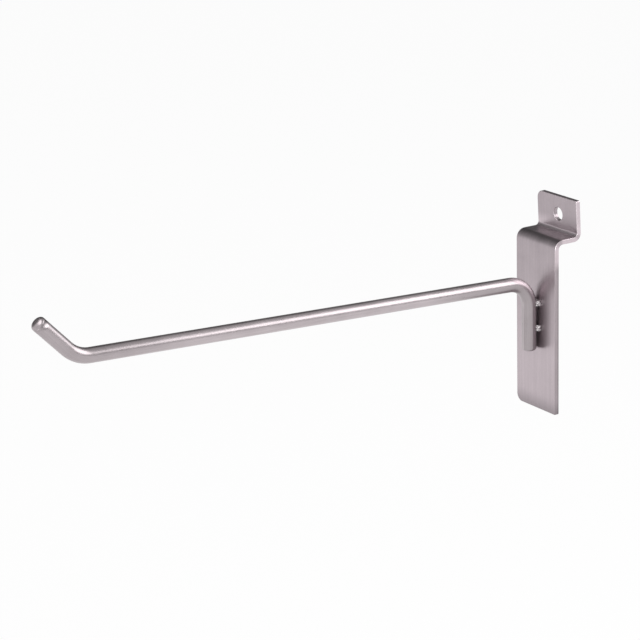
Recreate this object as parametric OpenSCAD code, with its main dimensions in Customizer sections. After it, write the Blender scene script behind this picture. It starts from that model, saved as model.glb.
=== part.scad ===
// Slatwall hook: a back plate folded from steel strip, and a bent round wire welded to its face.
// The plate hooks into a groove of a slotted wall panel, and goods hang on the wire.
// X runs along the plate's width, Y into the wall and Z up. The origin is on the back of the
// main plate, in the middle of its width, at the height where the wire's arm leaves the leg.

/* [Back plate] */
// Width of the steel strip
plate_w = 25.4; // [20:0.1:40]
// Thickness of the strip
plate_t = 1.9; // [1.2:0.1:2.5]
// From the arm's height down to the plate's bottom edge
plate_drop = 54; // [40:0.5:80]
// From the arm's height up to the top face of the shelf
shelf_height = 18.9; // [14:0.1:30]
// From the back of the plate to the front of the flange, along the shelf
lip_gap = 9.2; // [8:0.1:14]
// From the shelf's top face up to the flange's top edge
flange_height = 14.7; // [12:0.1:20]
// Lean of the flange back towards the plate, in degrees
flange_lean = 2.4; // [0:0.1:5]
// Inside radius of the fold between the plate and the shelf
front_fold_r = 2; // [0.5:0.1:3]
// Inside radius of the fold between the shelf and the flange
rear_fold_r = 1.5; // [0.5:0.1:3]
// How much thinner and narrower the strip is in its folds, where it has stretched
fold_thinning = 0.04; // [0.02:0.02:0.2]
// Radius of the strip's two rounded corners, both on one side
corner_r = 3.2; // [1:0.1:6]
// Radius of the strip's two sharper corners, on the other side
corner_break = 0.6; // [0.2:0.1:1]

/* [Flange hole] */
// Diameter of the hole through the flange
hole_d = 5.5; // [3:0.1:6]
// From the flange's top edge down to the hole's centre
hole_drop = 7.6; // [5:0.1:8]
// Shift of the hole from the middle of the width
hole_shift = 0.6; // [-3:0.1:3]

/* [Wire] */
// Diameter of the wire
wire_d = 5.9; // [4:0.1:7]
// Length of the arm, from the middle of the leg to the corner of the upturned tip
arm_length = 203.2; // [80:0.1:300]
// Rise of the arm towards its tip, in degrees
arm_rise = 2.4; // [0:0.1:5]
// Bend between the arm and the upturned tip, in degrees
tip_bend = 44.6; // [20:0.1:80]
// Length of the tip, from its corner to its end
tip_length = 22.1; // [16:0.1:40]
// Length of the leg on the plate, from the arm's height to its end
leg_length = 28.9; // [24:0.1:35]
// Radius of the bend at the plate, to the middle of the wire
leg_bend_r = 10.3; // [8:0.1:12]
// Radius of the bend at the tip, to the middle of the wire
tip_bend_r = 13; // [8:0.1:15]
// How much thinner the wire is in its bends, where it has stretched
bend_thinning = 0.04; // [0.02:0.02:0.2]
// Rounding of the wire's two cut ends
wire_end_r = 1.2; // [0.3:0.1:1.8]

/* [Welds] */
// Gap between the leg and the plate, which the welds bridge
weld_gap = 0.4; // [0.2:0.1:0.8]
// From the arm's height down to the upper weld
weld_drop = 9; // [8:0.1:11]
// From the leg's end up to the lower weld
weld_margin = 9.5; // [6:0.1:10]
// Width of a weld across the leg
weld_w = 7.2; // [6.6:0.1:9]
// Height of a weld along the leg
weld_h = 2.8; // [2:0.1:4]
// Height of a weld's middle above the plate's face
weld_rise = 0.7; // [0.3:0.1:1]

/* [Hidden] */
$fn = 96;
plate_colour = [0.68, 0.65, 0.66];
wire_colour = [0.74, 0.72, 0.73];
weld_colour = [0.55, 0.53, 0.53];
wire_r = wire_d / 2;
weld_r = weld_h / 2;
leg_y = -plate_t - weld_gap - wire_r;
// Flat lengths of the strip between its folds
face_run = plate_drop + shelf_height - front_fold_r - plate_t;
shelf_run = lip_gap - front_fold_r - rear_fold_r;
flange_run = (flange_height - rear_fold_r * (1 + sin(flange_lean))) / cos(flange_lean);
// Straight lengths of the wire between its bends
leg_bend = 90 - arm_rise;
leg_tangent = leg_bend_r * tan(leg_bend / 2);
tip_tangent = tip_bend_r * tan(tip_bend / 2);
leg_run = leg_length - leg_tangent - wire_end_r;
arm_run = arm_length - leg_tangent - tip_tangent;
tip_run = tip_length - tip_tangent - wire_end_r;

// A part of a ring about the X axis, which starts at +Y and turns towards +Z. The 2D section is
// drawn with its distance from the axis as X. The plane that the next stretch starts on trims it.
module ring_arc(angle, ring_r) {
    difference() {
        rotate([90, 0, 90]) rotate_extrude(angle = 180) children();
        rotate([angle, 0, 0]) translate([-ring_r, -ring_r, 0]) cube(2 * ring_r);
    }
}

// The corner of a 2D outline, at the origin, that a rounding of radius r takes off
module corner_waste(r) {
    difference() {
        square(r);
        translate([r, r]) circle(r = r);
    }
}

// One flat of the strip, seen from the front, with the radii of its left and right corners
module flat_outline(length, lower = [0, 0], upper = [0, 0]) {
    difference() {
        translate([-plate_w / 2, 0]) square([plate_w, length]);
        for (side = [0, 1], end = [0, 1]) {
            r = end == 0 ? lower[side] : upper[side];
            if (r > 0)
                translate([(side - 0.5) * plate_w, end * length])
                    mirror([side, 0]) mirror([0, end]) corner_waste(r);
        }
    }
}

// Sheet: a 2D outline in the XZ plane given the strip's thickness, from Y = 0 back
module sheet() {
    translate([0, plate_t, 0]) rotate([90, 0, 0]) linear_extrude(height = plate_t) children();
}

// The arc of a fold about the X axis, from its inside radius outwards
module fold_arc(inside_r, angle) {
    middle_r = inside_r + plate_t / 2;
    section = [plate_t - fold_thinning, plate_w - fold_thinning];
    ring_arc(angle, plate_w + inside_r)
        translate([middle_r, 0]) square(section, center = true);
}

// A fold towards the back, and what follows it on the strip
module fold_back(inside_r, angle) {
    translate([0, plate_t + inside_r, 0]) {
        mirror([0, 1, 0]) fold_arc(inside_r, angle);
        rotate([-angle, 0, 0]) translate([0, -plate_t - inside_r, 0]) children();
    }
}

// A fold towards the front, and what follows it on the strip
module fold_forward(inside_r, angle) {
    translate([0, -inside_r, 0]) {
        fold_arc(inside_r, angle);
        rotate([angle, 0, 0]) translate([0, inside_r, 0]) children();
    }
}

// A flat of the strip up to a fold, and what follows it
module flat_run(length, lower = [0, 0]) {
    sheet() flat_outline(length, lower = lower);
    translate([0, 0, length]) children();
}

// The last flat, which goes up behind the lip of the groove, with its hole
module flange() {
    sheet() difference() {
        flat_outline(flange_run, upper = [corner_r, corner_break]);
        translate([hole_shift, flange_run - hole_drop]) circle(d = hole_d);
    }
}

// The wire's cut end with its rounded edge, and what follows it on the wire
module wire_end() {
    rotate_extrude() {
        square([wire_r - wire_end_r, wire_end_r]);
        intersection() {
            translate([wire_r - wire_end_r, wire_end_r]) circle(r = wire_end_r);
            square([wire_r, wire_end_r]);
        }
    }
    translate([0, 0, wire_end_r]) children();
}

// A straight stretch of wire, and what follows it
module wire_run(length) {
    cylinder(r = wire_r, h = length);
    translate([0, 0, length]) children();
}

// A bend of the wire towards the front, and what follows it
module wire_bend(radius, angle) {
    translate([0, -radius, 0]) {
        ring_arc(angle, radius + wire_d)
            translate([radius, 0]) circle(d = wire_d - bend_thinning);
        rotate([angle, 0, 0]) translate([0, radius, 0]) children();
    }
}

// A round-ended bar along X, for the weld metal before it is cut to its seats
module weld_bar() {
    rotate([0, 90, 0]) rotate_extrude() intersection() {
        union() {
            translate([-weld_r, weld_r - weld_w / 2]) square([weld_h, weld_w - weld_h]);
            for (end = [-1, 1]) translate([0, end * (weld_w / 2 - weld_r)]) circle(r = weld_r);
        }
        translate([0, -weld_w / 2]) square([weld_r, weld_w]);
    }
}

// Folded strip: the face, the shelf that rests on the slat and the flange behind the lip
module back_plate() {
    color(plate_colour)
        translate([0, -plate_t, -plate_drop])
            flat_run(face_run, lower = [corner_r, corner_break])
                fold_back(front_fold_r, 90)
                    flat_run(shelf_run)
                        fold_forward(rear_fold_r, 90 + flange_lean)
                            flange();
}

// Bent wire: the leg on the plate, the arm that goods hang on and the upturned tip
module hook_wire() {
    color(wire_colour)
        translate([0, leg_y, -leg_length])
            wire_end() wire_run(leg_run)
                wire_bend(leg_bend_r, leg_bend) wire_run(arm_run)
                    rotate([0, 0, 180]) wire_bend(tip_bend_r, tip_bend) wire_run(tip_run)
                        translate([0, 0, wire_end_r]) mirror([0, 0, 1]) wire_end();
}

// Two welds, each filling the gap under the leg and showing on both sides of it
module welds() {
    color(weld_colour)
        for (height = [-weld_drop, weld_margin - leg_length])
            difference() {
                translate([0, -plate_t - weld_rise, height]) weld_bar();
                translate([-weld_w, -plate_t, height - weld_h]) cube([2 * weld_w, weld_h, 2 * weld_h]);
                hook_wire();
            }
}

back_plate();
hook_wire();
welds();
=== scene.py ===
from math import cos, pi, radians, sin, tan

import bmesh
import bpy
from mathutils import Matrix, Vector, noise


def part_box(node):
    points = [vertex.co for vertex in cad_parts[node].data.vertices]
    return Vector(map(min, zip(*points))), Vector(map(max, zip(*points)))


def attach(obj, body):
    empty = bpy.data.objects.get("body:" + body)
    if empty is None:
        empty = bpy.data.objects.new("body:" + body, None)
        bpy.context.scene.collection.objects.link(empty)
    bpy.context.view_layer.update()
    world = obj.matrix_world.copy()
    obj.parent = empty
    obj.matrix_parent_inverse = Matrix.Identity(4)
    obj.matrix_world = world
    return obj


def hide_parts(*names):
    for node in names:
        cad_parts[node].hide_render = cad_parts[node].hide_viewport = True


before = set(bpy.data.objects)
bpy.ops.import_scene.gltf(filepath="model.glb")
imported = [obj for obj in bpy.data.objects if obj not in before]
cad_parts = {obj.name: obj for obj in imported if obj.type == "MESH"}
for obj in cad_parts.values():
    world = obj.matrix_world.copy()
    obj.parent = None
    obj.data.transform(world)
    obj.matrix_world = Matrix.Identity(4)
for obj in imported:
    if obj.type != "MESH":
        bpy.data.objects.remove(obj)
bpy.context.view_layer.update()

MM = 0.001

# The mesh attribute that holds a point's place before the strip was folded or the wire bent
UNBENT = "unbent"

# Back plate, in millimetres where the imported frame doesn't give the size
FRONT_FOLD_R = 2.0
REAR_FOLD_R = 1.5
SHELF_HEIGHT = 18.9
LIP_GAP = 9.2
FLANGE_HEIGHT = 14.7
FLANGE_LEAN = radians(2.4)
ROUND_CORNER_R = 3.2
SHARP_CORNER_R = 0.6
FOLD_THINNING = 0.04
HOLE_R = 2.75
HOLE_DROP = 7.6
HOLE_SHIFT = 0.6
PLATE_EDGE_R = 0.22

# Wire, in millimetres
WIRE_R = 2.95
WELD_GAP = 0.4
ARM_LENGTH = 203.2
ARM_RISE = radians(2.4)
TIP_BEND = radians(44.6)
TIP_LENGTH = 22.1
LEG_LENGTH = 28.9
LEG_BEND_R = 10.3
TIP_BEND_R = 13.0
WIRE_END_R = 1.4
END_FULLNESS = 3.0

# Welds, in millimetres, and the share of their room that the uneven beads fill
WELD_HALF_H = 1.4
WELD_DROP = 9.0
WELD_MARGIN = 9.5
WELD_RISE = 0.7
BEAD_FULLNESS = 4
BEAD_REACH = 0.92
COARSE_LUMP = 0.20
COARSE_LUMP_RATE = 2.3
FINE_LUMP = 0.12
FINE_LUMP_RATE = 5.1

# Steps of the meshes
FACE_STEPS = 24
SHELF_STEPS = 4
FLANGE_STEPS = 8
FOLD_STEPS = 24
CORNER_STEPS = 12
EDGE_STEPS = 5
HOLE_STEPS = 64
LEG_STEPS = 6
ARM_STEPS = 60
TIP_STEPS = 6
END_STEPS = 12
RING_STEPS = 96
BEND_STEP = radians(2.5)
BEAD_SUBDIVISIONS = 5
# Width in millimetres of the ring of faces inside an edge, which keeps the flat beside it flat
GUARD = 0.12
# Places nearer than this, in millimetres, are the same
CLOSE = 1e-6
# Share of a step between the middle of a cut end and its first ring
END_START = 0.15

# The wire's tone, as shares of its colour, with painted shade on the leg and towards the tip and a painted
# highlight on the outer side of the bend at the plate, and the places between which each change comes in,
# in millimetres from the leg's end or towards the outer side of the bend at the plate
# The leg's lower tone and the loss towards the tip are painted shade
LEG_SHADE_TONE = 0.64
ARM_GAIN = 0.24
ARM_IN = (30, 80)
TIP_SHADE_LOSS = 0.14
TIP_IN = (180, 235)
# Painted highlight on the outer side of the bend at the plate
BEND_HIGHLIGHT_GAIN = 0.25
BEND_IN = (19, 26)
BEND_OUT = (60, 35)
OUTER_SIDE = (-0.5, 1.5)

# The strip's tone, as shares of its colour, with painted highlights on its edges near the folds and at the
# flange's root, painted shade at its foot and in its folds, and a darker rear rim on its lower edges
PLATE_TONE = 0.65
EDGE_HIGHLIGHT_GAIN = 0.6
REAR_RIM_LOSS = 0.3
UNSHADED_FACE_GAIN = 0.35
FRONT_FOLD_SHADE = 0.4
REAR_FOLD_SHADE = 0.25
FLANGE_ROOT_HIGHLIGHT = 0.22

# What all three finishes share. Sizes are in millimetres
CLOUD_SIZE = 9.0
CLOUD_DETAIL = 3.0
SPECK_SIZE = 0.9
SPECK_DETAIL = 2.0
SPECK_ROUGHNESS = 0.6
GRAIN_DETAIL = 3.0
GRAIN_ROUGHNESS = 0.65
LINE_STRETCH = (1, 1, 0.02)
GLOSS_SPREAD = 0.02
# Most of a noise lies between these values
NOISE_LOW = 0.3
NOISE_HIGH = 0.7

# Room: the floor, in metres, the share of white that it shows, and the light that comes from the walls
FLOOR_SIZE = 40
FLOOR_HEIGHT = -0.35
FLOOR_COLOUR = (0.95, 0.95, 0.95, 1)
FLOOR_WHITE = 0.92
FRONT_LEVEL = 0.9
BACK_LEVEL = 0.5
DARK_LEVEL = 0.12
# The direction of the room's dark side, seen from the part, and the cosines of the angle from it
# between which the dark comes in. It also comes in over the horizon, by the height of the view
DARK_SIDE = (-0.93, 0.25, 0.2)
DARK_IN = (0.58, 0.7)
HORIZON = (0.0, 0.08)
# How far back a view points where the walls grow dimmer
BACK_IN = (-0.2, 0.35)

# Camera, from the photograph's view of the plate and the wire
CAMERA_PLACE = (0.7464, -0.5729, 0.2743)
CAMERA_AZIMUTH = radians(57.91)
CAMERA_ELEVATION = radians(17.124)
CAMERA_ROLL = radians(-1.678)
CAMERA_LENS = 136.25
SENSOR = 36.0
CAMERA_REACH = 30

plate_low, plate_high = (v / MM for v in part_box("back_plate"))
half_width = plate_high.x
thickness = -plate_low.y
face_run = SHELF_HEIGHT - thickness - FRONT_FOLD_R - plate_low.z
shelf_run = LIP_GAP - FRONT_FOLD_R - REAR_FOLD_R
flange_run = (FLANGE_HEIGHT - REAR_FOLD_R * (1 + sin(FLANGE_LEAN))) / cos(FLANGE_LEAN)
front_fold_angle = pi / 2
rear_fold_angle = pi / 2 + FLANGE_LEAN
front_fold_run = front_fold_angle * (FRONT_FOLD_R + thickness / 2)
rear_fold_run = rear_fold_angle * (REAR_FOLD_R + thickness / 2)

# Where each stretch of the strip starts, along its length
fold_1 = face_run
shelf_start = fold_1 + front_fold_run
fold_2 = shelf_start + shelf_run
flange_start = fold_2 + rear_fold_run
strip_length = flange_start + flange_run


def on_strip(x, along, depth):
    """The point of the folded strip at a place of the flat one. Depth counts from its front face."""
    in_fold = min(max(depth, FOLD_THINNING / 2), thickness - FOLD_THINNING / 2)
    if along <= fold_1:
        return Vector((x, depth - thickness, along + plate_low.z))
    if along <= shelf_start:
        turn = (along - fold_1) / front_fold_run * front_fold_angle
        r = FRONT_FOLD_R + thickness - in_fold
        return Vector((x, FRONT_FOLD_R - r * cos(turn), fold_1 + plate_low.z + r * sin(turn)))
    if along <= fold_2:
        return Vector((x, FRONT_FOLD_R + along - shelf_start, SHELF_HEIGHT - depth))
    turn = min((along - fold_2) / rear_fold_run, 1) * rear_fold_angle
    r = REAR_FOLD_R + (in_fold if along <= flange_start else depth)
    past = max(along - flange_start, 0)
    y = LIP_GAP - REAR_FOLD_R + r * sin(turn) + past * cos(turn)
    z = SHELF_HEIGHT + REAR_FOLD_R - r * cos(turn) + past * sin(turn)
    return Vector((x, y, z))


def levels():
    """Places along the strip, close together in its folds."""
    flats = [
        (0, fold_1, FACE_STEPS),
        (shelf_start, fold_2, SHELF_STEPS),
        (flange_start, strip_length, FLANGE_STEPS),
    ]
    folds = [(fold_1, shelf_start, FOLD_STEPS), (fold_2, flange_start, FOLD_STEPS)]
    found = set()
    for start, end, steps in flats + folds:
        found.update(round(start + (end - start) * i / steps, 6) for i in range(steps + 1))
    return sorted(found)


def strip_ring(inset):
    """The strip's outline, moved inwards. It runs up the left side, over the top and down the right."""
    heights = [h for h in levels() if ROUND_CORNER_R < h < strip_length - ROUND_CORNER_R]

    def corner(cx, cy, r, start):
        turns = [start - i / CORNER_STEPS * pi / 2 for i in range(CORNER_STEPS + 1)]
        return [(cx + (r - inset) * cos(t), cy + (r - inset) * sin(t)) for t in turns]

    big, small = ROUND_CORNER_R, SHARP_CORNER_R
    ring = corner(-half_width + big, big, big, -pi / 2)
    ring += [(-half_width + inset, h) for h in heights]
    ring += corner(-half_width + big, strip_length - big, big, pi)
    ring += corner(half_width - small, strip_length - small, small, pi / 2)
    ring += [(half_width - inset, h) for h in reversed(heights)]
    ring += corner(half_width - small, small, small, 0)
    return ring, len(heights)


def hole_ring(inset):
    """The hole's outline on the strip, widened."""
    r = HOLE_R + inset
    turns = [2 * pi * i / HOLE_STEPS for i in range(HOLE_STEPS)]
    return [(HOLE_SHIFT + r * cos(t), strip_length - HOLE_DROP + r * sin(t)) for t in turns]


def edge_section():
    """Inset and depth of the rings round an edge, from the front face over the edge to the back."""
    r = PLATE_EDGE_R
    turns = [i / EDGE_STEPS * pi / 2 for i in range(EDGE_STEPS + 1)]
    front = [(r - r * sin(t), r - r * cos(t)) for t in turns]
    back = [(inset, thickness - depth) for inset, depth in reversed(front)]
    return [(r + GUARD, 0)] + front + back + [(r + GUARD, thickness)]


def add_rings(bm, outline):
    """Rings of vertices from an outline function, joined by faces. Returns the rings."""
    rings = [[bm.verts.new((x, y, depth)) for x, y in outline(inset)] for inset, depth in edge_section()]
    for ring, following in zip(rings, rings[1:]):
        for i in range(len(ring)):
            j = (i + 1) % len(ring)
            bm.faces.new((ring[i], ring[j], following[j], following[i]))
    return rings


def ring_edges(bm, ring):
    """The edges of a closed ring, made where they are missing."""
    return [bm.edges.get((a, b)) or bm.edges.new((a, b)) for a, b in zip(ring, ring[1:] + ring[:1])]


def fill_face(bm, ring, hole, sides):
    """One face of the strip: a cap at its foot, bands up to the flange, and the flange round its hole."""
    n = CORNER_STEPS + 1
    left = ring[n:n + sides]
    right = ring[3 * n + sides:3 * n + 2 * sides][::-1]
    for i in range(sides - 1):
        if left[i + 1].co.y <= flange_start + CLOSE:
            bm.faces.new((left[i], left[i + 1], right[i + 1], right[i]))
            last = i + 1
    bm.faces.new([right[0]] + ring[3 * n + 2 * sides:] + ring[:n] + [left[0]])
    top = left[last:] + ring[n + sides:3 * n + sides] + right[last:][::-1]
    bmesh.ops.triangle_fill(bm, edges=ring_edges(bm, top) + ring_edges(bm, hole), use_beauty=True)


def make_object(name, bm):
    """A smooth object from a bmesh in millimetres, on the part's only body."""
    bmesh.ops.recalc_face_normals(bm, faces=bm.faces)
    bmesh.ops.scale(bm, vec=(MM, MM, MM), verts=bm.verts)
    mesh = bpy.data.meshes.new(name)
    bm.to_mesh(mesh)
    bm.free()
    mesh.shade_smooth()
    piece = bpy.data.objects.new(name, mesh)
    bpy.context.scene.collection.objects.link(piece)
    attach(piece, "root")
    return piece


def folded_strip():
    """The strip is meshed flat, and each vertex then goes to its place on the folded one."""
    bm = bmesh.new()
    sides = strip_ring(0)[1]
    outer = add_rings(bm, lambda inset: strip_ring(inset)[0])
    hole = add_rings(bm, hole_ring)
    for end in (0, -1):
        fill_face(bm, outer[end], hole[end], sides)
    unbent = bm.verts.layers.float_vector.new(UNBENT)
    for v in bm.verts:
        v[unbent] = Vector((v.co.x, v.co.z, v.co.y)) * MM
        v.co = on_strip(*v.co)
    return make_object("folded_strip", bm)


def wire_path():
    """Stations along the wire's middle line, each with its place, its direction and its radius."""
    leg_turn = pi / 2 - ARM_RISE
    leg_tangent = LEG_BEND_R * tan(leg_turn / 2)
    tip_tangent = TIP_BEND_R * tan(TIP_BEND / 2)
    place = Vector((0, -thickness - WELD_GAP - WIRE_R, -LEG_LENGTH))
    heading = pi / 2
    stations = []

    def add(radius=WIRE_R):
        stations.append((place.copy(), heading, radius))

    def straight(length, steps):
        nonlocal place
        for _ in range(steps):
            place = place + Vector((0, -cos(heading), sin(heading))) * length / steps
            add()

    def bend(radius, turn):
        nonlocal place, heading
        steps = round(abs(turn) / BEND_STEP)
        for _ in range(steps):
            heading += turn / steps / 2
            chord = 2 * radius * sin(abs(turn) / steps / 2)
            place = place + Vector((0, -cos(heading), sin(heading))) * chord
            heading += turn / steps / 2
            add()

    def end(start):
        """A cut end, rounded by tumbling. It widens at the wire's start and narrows at its end."""
        nonlocal place
        turns = [(i + END_START) / (END_STEPS + END_START) * pi / 2 for i in range(END_STEPS + 1)]
        rows = [(WIRE_END_R - WIRE_END_R * cos(t), WIRE_R * sin(t) ** (2 / END_FULLNESS)) for t in turns]
        if not start:
            rows = [(WIRE_END_R - along, radius) for along, radius in reversed(rows)]
        base = place.copy()
        for along, radius in rows:
            place = base + Vector((0, -cos(heading), sin(heading))) * along
            add(radius)

    end(True)
    straight(LEG_LENGTH - leg_tangent - WIRE_END_R, LEG_STEPS)
    bend(LEG_BEND_R, -leg_turn)
    straight(ARM_LENGTH - leg_tangent - tip_tangent, ARM_STEPS)
    bend(TIP_BEND_R, TIP_BEND)
    straight(TIP_LENGTH - tip_tangent - WIRE_END_R, TIP_STEPS)
    end(False)
    return stations


def bent_wire():
    """Rings of vertices round the wire's middle line, joined by faces and closed at both ends."""
    bm = bmesh.new()
    stations = wire_path()
    unbent = bm.verts.layers.float_vector.new(UNBENT)
    rings = []
    along = 0
    before = stations[0][0]
    for place, heading, radius in stations:
        along += (place - before).length
        before = place
        across = Vector((0, sin(heading), cos(heading)))
        rings.append([])
        for i in range(RING_STEPS):
            x, y = radius * cos(2 * pi * i / RING_STEPS), radius * sin(2 * pi * i / RING_STEPS)
            v = bm.verts.new(place + Vector((x, 0, 0)) + across * y)
            v[unbent] = Vector((x, y, along)) * MM
            rings[-1].append(v)
    for ring, following in zip(rings, rings[1:]):
        for i in range(RING_STEPS):
            j = (i + 1) % RING_STEPS
            bm.faces.new((ring[i], ring[j], following[j], following[i]))
    bm.faces.new(rings[0])
    bm.faces.new(rings[-1])
    return make_object("bent_wire", bm)


def weld_beads():
    """Two uneven beads of melted steel under the leg, which show at both of its sides."""
    low, high = (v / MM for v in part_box("welds"))
    half = Vector(((high.x - low.x) / 2, WELD_HALF_H, WELD_HALF_H))
    bm = bmesh.new()
    for seed, height in enumerate((-WELD_DROP, WELD_MARGIN - LEG_LENGTH)):
        middle = Vector((0, -thickness - WELD_RISE, height))
        coarse_shift = Vector((7.1 * seed, 0, 3.3))
        fine_shift = Vector((0, 5.7 * seed, 1.9))
        made = bmesh.ops.create_icosphere(bm, subdivisions=BEAD_SUBDIVISIONS, radius=1)["verts"]
        for v in made:
            way = v.co.copy()
            fullness = sum(abs(c) ** BEAD_FULLNESS for c in way) ** (-1 / BEAD_FULLNESS)
            lump = COARSE_LUMP * noise.noise(way * COARSE_LUMP_RATE + coarse_shift)
            lump += FINE_LUMP * noise.noise(way * FINE_LUMP_RATE + fine_shift)
            reach = (BEAD_REACH + lump) * fullness
            v.co = middle + Vector([max(-1, min(1, way[i] * reach)) * half[i] for i in range(3)])
            v.co.y = min(v.co.y, -thickness)
    return make_object("weld_beads", bm)


class NodeValue:
    """A value in a tree of shader nodes. Arithmetic on it adds the nodes that do it."""

    def __init__(self, tree, socket):
        self.tree = tree
        self.socket = socket

    def combine(self, operation, other=0):
        node = self.tree.nodes.new("ShaderNodeMath")
        node.operation = operation
        self.tree.links.new(self.socket, node.inputs[0])
        if isinstance(other, NodeValue):
            self.tree.links.new(other.socket, node.inputs[1])
        else:
            node.inputs[1].default_value = other
        return NodeValue(self.tree, node.outputs["Value"])

    def __add__(self, other):
        return self.combine("ADD", other)

    def __sub__(self, other):
        return self.combine("SUBTRACT", other)

    def __mul__(self, other):
        return self.combine("MULTIPLY", other)

    def mapped(self, low, high, to_low=0.0, to_high=1.0, smooth=True):
        """The value from low to high as one from to_low to to_high. With low over high, it falls."""
        node = self.tree.nodes.new("ShaderNodeMapRange")
        node.interpolation_type = "SMOOTHSTEP" if smooth else "LINEAR"
        node.inputs["From Min"].default_value = low
        node.inputs["From Max"].default_value = high
        node.inputs["To Min"].default_value = to_low
        node.inputs["To Max"].default_value = to_high
        self.tree.links.new(self.socket, node.inputs["Value"])
        return NodeValue(self.tree, node.outputs["Result"])

    def step_mm(self, low, high):
        """A smooth step between two places in millimetres."""
        return self.mapped(low * MM, high * MM)

    def varied(self, low, high):
        """A noise, as a value that goes from low to high."""
        return self.mapped(NOISE_LOW, NOISE_HIGH, low, high, smooth=False)


def noise_value(tree, coords, size, detail, roughness=0.5, stretch=(1, 1, 1)):
    """A noise of a given size in millimetres, stretched along an axis if asked."""
    mapping = tree.nodes.new("ShaderNodeMapping")
    mapping.inputs["Scale"].default_value = stretch
    tree.links.new(coords, mapping.inputs["Vector"])
    texture = tree.nodes.new("ShaderNodeTexNoise")
    texture.inputs["Scale"].default_value = 1 / (size * MM)
    texture.inputs["Detail"].default_value = detail
    texture.inputs["Roughness"].default_value = roughness
    tree.links.new(mapping.outputs["Vector"], texture.inputs["Vector"])
    return NodeValue(tree, texture.outputs["Fac"])


def split(tree, vector):
    """The three parts of a vector."""
    parts = tree.nodes.new("ShaderNodeSeparateXYZ")
    tree.links.new(vector, parts.inputs[0])
    return [NodeValue(tree, parts.outputs[axis]) for axis in "XYZ"]


def unbent_place(tree):
    """The place on the straight wire or the flat strip: across it, through it and along it, in metres."""
    attribute = tree.nodes.new("ShaderNodeAttribute")
    attribute.attribute_name = UNBENT
    return attribute.outputs["Vector"]


def wire_tone(tree):
    """The wire's tone has painted shade on its leg and towards its tip, darker there than in the middle of
    its arm, and a painted highlight on the outer side of its bend at the plate."""
    outer, along = split(tree, unbent_place(tree))[1:]
    # Painted shade on the leg, which lacks the arm's gain, and towards the tip
    arm = along.step_mm(*ARM_IN) * ARM_GAIN
    tip = along.step_mm(*TIP_IN) * TIP_SHADE_LOSS
    # Painted highlight on the outer side of the bend at the plate
    bend = along.step_mm(*BEND_IN) * along.step_mm(*BEND_OUT) * outer.step_mm(*OUTER_SIDE) * BEND_HIGHLIGHT_GAIN
    return arm + LEG_SHADE_TONE - tip + bend


def plate_tone(tree):
    """The strip's sheared edges get a painted highlight on the shelf, the flange and just below them, and
    are darker at the rear further down. Its face has painted shade at its foot and in its folds, and a
    painted highlight at the flange's root. Places are in millimetres."""
    across, depth, along = split(tree, unbent_place(tree))
    edge = across.combine("ABSOLUTE").step_mm(half_width - 0.3, half_width - 0.1)
    # Painted highlight on the sheared edges of the shelf, the flange and just below them
    edge_highlight = edge * along.step_mm(face_run - 9, face_run - 4)
    # The edges are darker at their rear rim further down
    rear_rim = depth.step_mm(thickness - 0.9, thickness - 0.4) * (edge - edge_highlight)
    # Painted shade at the foot of the face: only the face above the foot gets the gain
    face = along.step_mm(-1, 7.5)
    # Painted shade on the front fold
    front_fold_shade = (along.step_mm(fold_1 + 0.6, fold_1 + 2.6)
                  * along.step_mm(shelf_start + 0.3, shelf_start - 0.8))
    # Painted shade in the crease of the rear fold
    rear_fold_shade = (along.step_mm(flange_start - 2.8, flange_start - 2.1)
                 * along.step_mm(flange_start - 0.5, flange_start - 1.2))
    # Painted highlight at the flange's root
    root = (along.step_mm(flange_start - 1.2, flange_start - 0.2)
            * along.step_mm(flange_start + 4.8, flange_start + 1.6))
    tone = edge_highlight * EDGE_HIGHLIGHT_GAIN + PLATE_TONE - rear_rim * REAR_RIM_LOSS + face * UNSHADED_FACE_GAIN
    return tone - front_fold_shade * FRONT_FOLD_SHADE - rear_fold_shade * REAR_FOLD_SHADE + root * FLANGE_ROOT_HIGHLIGHT


def satin_steel(name, colour, rough, grain_size, grain_depth, streaks, clouds, specks, lines=0.0,
                tone_rule=None):
    """Steel with a fine drawn or brushed grain, long soft lines, a cloudy tone and small specks. Sizes are
    in millimetres, and clouds, specks and lines are shares of the colour."""
    material = bpy.data.materials.new(name)
    material.use_nodes = True
    tree = material.node_tree
    shader = tree.nodes["Principled BSDF"]
    shader.inputs["Metallic"].default_value = 1.0
    if tone_rule:
        coords = unbent_place(tree)
    else:
        coords = tree.nodes.new("ShaderNodeTexCoord").outputs["Object"]
    cloud = noise_value(tree, coords, CLOUD_SIZE, CLOUD_DETAIL)
    speck = noise_value(tree, coords, SPECK_SIZE, SPECK_DETAIL, SPECK_ROUGHNESS)
    grain = noise_value(tree, coords, grain_size, GRAIN_DETAIL, GRAIN_ROUGHNESS, streaks)
    drawn = noise_value(tree, coords, SPECK_SIZE, SPECK_DETAIL, SPECK_ROUGHNESS, LINE_STRETCH)
    tone = cloud.varied(1 - clouds, 1 + clouds) + speck.varied(-specks, specks)
    tone = tone + grain.varied(-specks, specks) + drawn.varied(-lines, lines)
    # The tone rule paints shade and highlights along the wire and the strip
    if tone_rule:
        tone = tone * tone_rule(tree)
    tint = tree.nodes.new("ShaderNodeVectorMath")
    tint.operation = "SCALE"
    tint.inputs[0].default_value = colour
    tree.links.new(tone.socket, tint.inputs["Scale"])
    tree.links.new(tint.outputs["Vector"], shader.inputs["Base Color"])
    gloss = cloud.varied(rough - GLOSS_SPREAD, rough + GLOSS_SPREAD) + speck.varied(-specks / 2, specks / 2)
    tree.links.new(gloss.socket, shader.inputs["Roughness"])
    bump = tree.nodes.new("ShaderNodeBump")
    bump.inputs["Strength"].default_value = 1.0
    bump.inputs["Distance"].default_value = grain_depth * MM
    tree.links.new(grain.socket, bump.inputs["Height"])
    tree.links.new(bump.outputs["Normal"], shader.inputs["Normal"])
    return material


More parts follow.
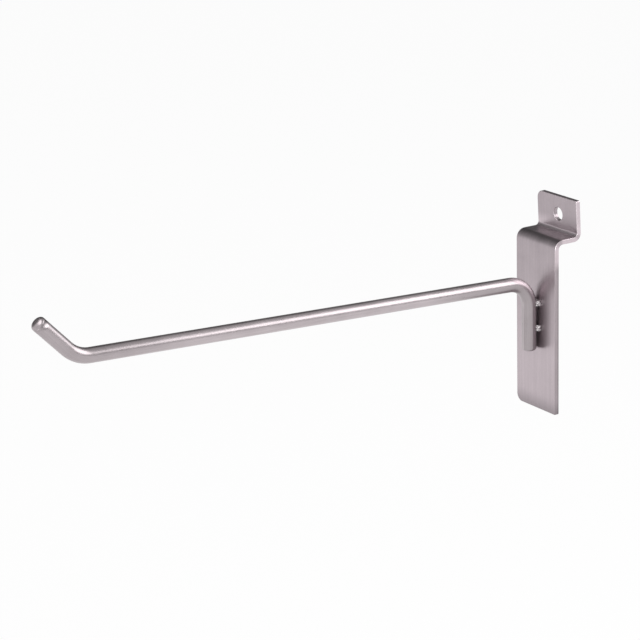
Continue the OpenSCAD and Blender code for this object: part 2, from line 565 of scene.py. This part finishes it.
def build_object():
    """The part's three pieces, each in place of its node of the frame."""
    plate = folded_strip()
    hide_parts("back_plate")
    plate.data.materials.append(satin_steel(
        "plate_steel", colour=(0.411, 0.358, 0.381), rough=0.34, grain_size=0.35, grain_depth=0.003,
        streaks=(1, 1, 0.1), clouds=0.05, specks=0.03, lines=0.05, tone_rule=plate_tone))
    wire = bent_wire()
    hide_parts("hook_wire")
    wire.data.materials.append(satin_steel(
        "wire_steel", colour=(0.595, 0.533, 0.553), rough=0.3, grain_size=0.35, grain_depth=0.0003,
        streaks=(1, 1, 0.1), clouds=0.05, specks=0.02, lines=0.07, tone_rule=wire_tone))
    beads = weld_beads()
    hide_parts("welds")
    beads.data.materials.append(satin_steel(
        "weld_steel", colour=(0.42, 0.39, 0.4), rough=0.38, grain_size=0.8, grain_depth=0.006,
        streaks=(1, 1, 1), clouds=0.1, specks=0.1))


def camera():
    """The photograph's camera: where it stands, which way it looks and its small roll."""
    a, e, roll = CAMERA_AZIMUTH, CAMERA_ELEVATION, CAMERA_ROLL
    look = Vector((-sin(a) * cos(e), cos(a) * cos(e), -sin(e)))
    right = Vector((cos(a), sin(a), 0))
    up = right.cross(look)
    right, up = cos(roll) * right + sin(roll) * up, cos(roll) * up - sin(roll) * right
    data = bpy.data.cameras.new("camera")
    data.lens = CAMERA_LENS
    data.sensor_width = SENSOR
    data.clip_end = CAMERA_REACH
    eye = bpy.data.objects.new("camera", data)
    turn = Matrix((right, up, -look)).transposed().to_4x4()
    eye.matrix_world = Matrix.Translation(CAMERA_PLACE) @ turn
    bpy.context.scene.collection.objects.link(eye)
    bpy.context.scene.camera = eye


def floor():
    """A pale floor well below the part. It shows white to the camera and to the steel, and keeps the
    part's shadow."""
    bpy.ops.mesh.primitive_plane_add(size=FLOOR_SIZE, location=(0, 0, FLOOR_HEIGHT))
    plane = bpy.context.object
    plane.name = "floor"
    material = bpy.data.materials.new("floor")
    material.use_nodes = True
    tree = material.node_tree
    shader = tree.nodes["Principled BSDF"]
    shader.inputs["Base Color"].default_value = FLOOR_COLOUR
    shader.inputs["Roughness"].default_value = 1.0
    white = tree.nodes.new("ShaderNodeEmission")
    rays = tree.nodes.new("ShaderNodeLightPath")
    seen = NodeValue(tree, rays.outputs["Is Camera Ray"])
    for kind in ("Is Glossy Ray", "Is Transmission Ray"):
        seen = seen.combine("MAXIMUM", NodeValue(tree, rays.outputs[kind]))
    mix = tree.nodes.new("ShaderNodeMixShader")
    tree.links.new((seen * FLOOR_WHITE).socket, mix.inputs[0])
    tree.links.new(shader.outputs[0], mix.inputs[1])
    tree.links.new(white.outputs[0], mix.inputs[2])
    tree.links.new(mix.outputs[0], tree.nodes["Material Output"].inputs["Surface"])
    plane.data.materials.append(material)


def room():
    """Plain walls that light the part softly. They are dimmer behind it, and one side is dark."""
    world = bpy.data.worlds.new("room")
    bpy.context.scene.world = world
    world.use_nodes = True
    tree = world.node_tree
    way = tree.nodes.new("ShaderNodeTexCoord").outputs["Generated"]
    towards = tree.nodes.new("ShaderNodeVectorMath")
    towards.operation = "DOT_PRODUCT"
    towards.inputs[1].default_value = Vector(DARK_SIDE).normalized()
    tree.links.new(way, towards.inputs[0])
    side = NodeValue(tree, towards.outputs["Value"]).mapped(*DARK_IN)
    y, z = split(tree, way)[1:]
    dark = side * z.mapped(*HORIZON)
    behind = y.mapped(*BACK_IN)
    level = behind * (BACK_LEVEL - FRONT_LEVEL) + FRONT_LEVEL
    level = level - dark * (level - DARK_LEVEL)
    tree.links.new(level.socket, tree.nodes["Background"].inputs["Color"])


def soft_box(name, azimuth, elevation, distance, width, height, radiance, spread=180, colour=(1, 1, 1)):
    """An oval soft light that faces the part, in metres and degrees. Its azimuth runs from straight
    behind towards the right."""
    a, e = radians(azimuth), radians(elevation)
    data = bpy.data.lights.new(name, "AREA")
    data.shape = "ELLIPSE"
    data.size = width
    data.size_y = height
    data.energy = radiance * pi * (width * height * pi / 4)
    data.spread = radians(spread)
    data.color = colour
    light = bpy.data.objects.new(name, data)
    light.location = distance * Vector((sin(a) * cos(e), cos(a) * cos(e), sin(e)))
    light.rotation_euler = light.location.to_track_quat("Z", "Y").to_euler()
    light.visible_camera = False
    bpy.context.scene.collection.objects.link(light)


def studio():
    """The floor, the room and its lights. The near card lights the bend at the plate, and the last card
    shows in the plate's face."""
    floor()
    room()
    soft_box("key_light", azimuth=30, elevation=30, distance=1.2, width=1.5, height=0.88, radiance=2.4)
    soft_box("front_light", azimuth=182, elevation=57, distance=1.3, width=1.82, height=0.8, radiance=1.6)
    soft_box("near_card", azimuth=159, elevation=23, distance=0.1, width=0.12, height=0.075, radiance=1.7,
             spread=90, colour=(0.93, 1, 0.97))
    soft_box("card", azimuth=232.6, elevation=-25.4, distance=0.275, width=0.12, height=0.06, radiance=0.6)


build_object()
camera()
studio()
bpy.context.scene.view_settings.view_transform = "Standard"
